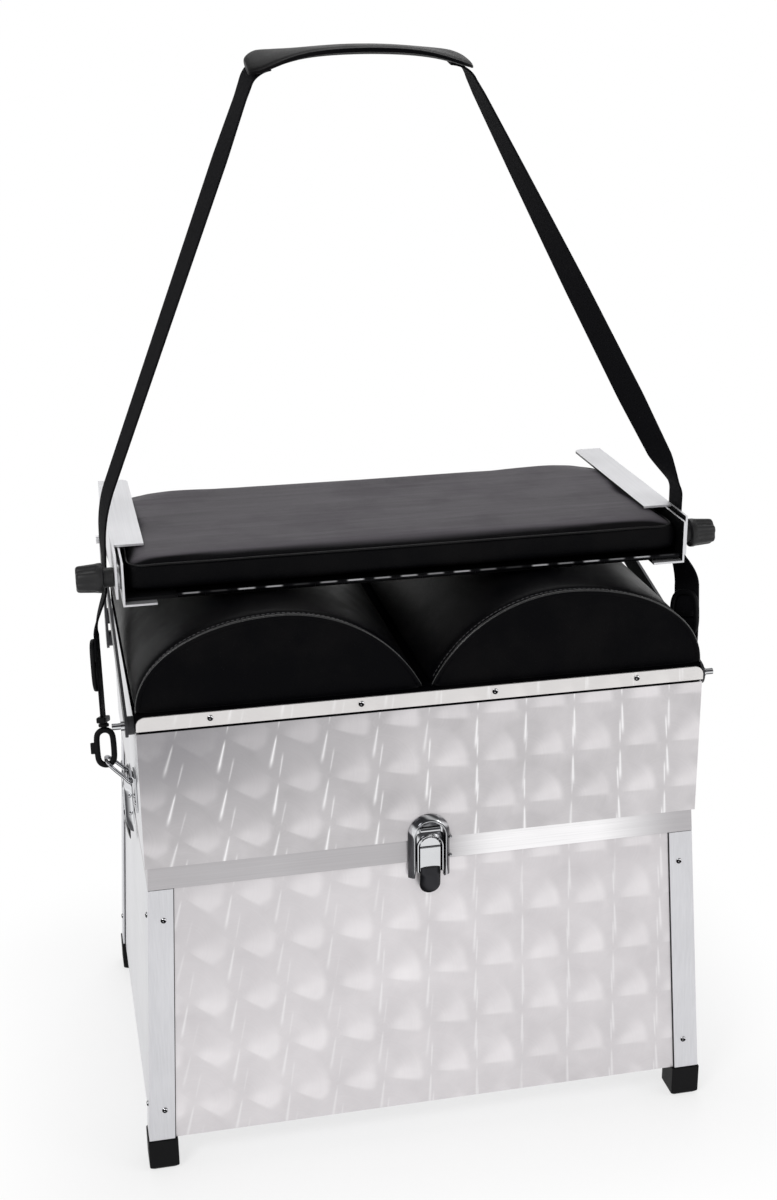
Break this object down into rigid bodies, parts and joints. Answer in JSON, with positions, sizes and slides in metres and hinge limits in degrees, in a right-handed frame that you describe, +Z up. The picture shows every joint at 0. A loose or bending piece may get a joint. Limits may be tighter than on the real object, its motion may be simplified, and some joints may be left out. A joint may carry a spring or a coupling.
{
  "type": "fishing seat box",
  "caption": "Flared aluminium carrying box with a deep hinged lid, half-round padded seat rolls, fold-down padded backrest on side arms, clamping knobs, toggle latches and a shoulder strap.",
  "frame": {"origin": "on the ground under the middle of the box, between its four feet", "axes": "+X across the box to the right as seen from the front, +Y from the front to the back, +Z up"},
  "size_m": [0.579, 0.3734, 0.967],
  "materials": {
    "turned_aluminium": "engine turned in overlapping round spots",
    "brushed_aluminium": "brushed",
    "chrome": "polished",
    "leatherette": "grained",
    "black_plastic": "moulded",
    "black_webbing": "woven",
    "black_board": "smooth"
  },
  "bodies": {
    "lower_box": {"lower_front_panel": "turned_aluminium", "lower_back_panel": "turned_aluminium", "lower_left_panel": "brushed_aluminium", "lower_right_panel": "brushed_aluminium", "floor_panel": "brushed_aluminium", "rim_band": "brushed_aluminium", "post_front_left": "brushed_aluminium", "post_front_right": "brushed_aluminium", "post_rear_left": "brushed_aluminium", "post_rear_right": "brushed_aluminium", "foot_front_left": "black_plastic", "foot_front_right": "black_plastic", "foot_rear_left": "black_plastic", "foot_rear_right": "black_plastic", "lid_hinge_lower": "brushed_aluminium", "latch_keeper_front": "chrome", "latch_keeper_left": "chrome", "latch_keeper_right": "chrome"},
    "lid": {"lid_front_panel": "turned_aluminium", "lid_back_panel": "turned_aluminium", "lid_left_panel": "brushed_aluminium", "lid_right_panel": "brushed_aluminium", "seat_board": "leatherette", "seat_front_trim": "turned_aluminium", "seat_roll_left": "leatherette", "seat_roll_right": "leatherette", "lid_hinge_upper": "brushed_aluminium", "latch_dome_front": "chrome", "latch_dome_left": "chrome", "latch_dome_right": "chrome", "side_bracket_left": "brushed_aluminium", "side_bracket_right": "brushed_aluminium", "rail_stud_left": "chrome", "rail_stud_right": "chrome", "ring_plate_left": "chrome", "ring_plate_right": "chrome", "ring_left": "chrome", "ring_right": "chrome", "snap_hook_left": "black_plastic", "snap_hook_right": "black_plastic", "webbing_left": "black_webbing", "webbing_right": "black_webbing", "slider_left": "black_plastic", "slider_right": "black_plastic", "shoulder_pad": "leatherette"},
    "hasp_front": {"latch_hasp_front": "chrome"},
    "hasp_left": {"latch_hasp_left": "chrome"},
    "hasp_right": {"latch_hasp_right": "chrome"},
    "arms": {"backrest_arm_left": "brushed_aluminium", "backrest_arm_right": "brushed_aluminium"},
    "backrest_base": {"backrest_base_board": "black_board", "pad_hinge_lower": "brushed_aluminium", "inner_bracket_left": "brushed_aluminium", "inner_bracket_right": "brushed_aluminium"},
    "backrest": {"backrest_pad": "leatherette", "pad_hinge_upper": "brushed_aluminium", "outer_bracket_left": "brushed_aluminium", "outer_bracket_right": "brushed_aluminium"},
    "clamp_knob_left": {"knob_left": "black_plastic"},
    "clamp_knob_right": {"knob_right": "black_plastic"}
  },
  "joints": [
    {"name": "lid_hinge", "type": "hinge", "parent": "lower_box", "child": "lid", "pos_m": [0, 0.1752, 0.2997], "axis": [1, 0, 0], "range_deg": [-100, 0]},
    {"name": "hasp_front_pivot", "type": "hinge", "parent": "lid", "child": "hasp_front", "pos_m": [0, -0.1771, 0.311], "axis": [1, 0, 0], "range_deg": [-95, 0]},
    {"name": "hasp_left_pivot", "type": "hinge", "parent": "lid", "child": "hasp_left", "pos_m": [-0.2545, -0.01, 0.311], "axis": [0, 1, 0], "range_deg": [0, 95]},
    {"name": "hasp_right_pivot", "type": "hinge", "parent": "lid", "child": "hasp_right", "pos_m": [0.2545, -0.01, 0.311], "axis": [0, 1, 0], "range_deg": [-95, 0]},
    {"name": "backrest_swing", "type": "hinge", "parent": "lid", "child": "arms", "pos_m": [0, 0.15, 0.497], "axis": [1, 0, 0], "range_deg": [-100, 0], "deforming": ["webbing_left", "webbing_right", "shoulder_pad"]},
    {"name": "backrest_turn", "type": "hinge", "parent": "arms", "child": "backrest_base", "pos_m": [0, -0.085, 0.5365], "axis": [1, 0, 0], "range_deg": [0, 180]},
    {"name": "pad_tilt", "type": "hinge", "parent": "backrest_base", "child": "backrest", "pos_m": [0, -0.1112, 0.52525], "axis": [1, 0, 0], "range_deg": [0, 15]},
    {"name": "knob_left_turn", "type": "hinge", "parent": "arms", "child": "clamp_knob_left", "pos_m": [-0.27, -0.085, 0.5365], "axis": [1, 0, 0], "continuous": true},
    {"name": "knob_right_turn", "type": "hinge", "parent": "arms", "child": "clamp_knob_right", "pos_m": [0.27, -0.085, 0.5365], "axis": [1, 0, 0], "continuous": true}
  ],
  "couplings": [
    {"joint": "backrest_turn", "follows": "backrest_swing", "ratio": -1.8}
  ]
}
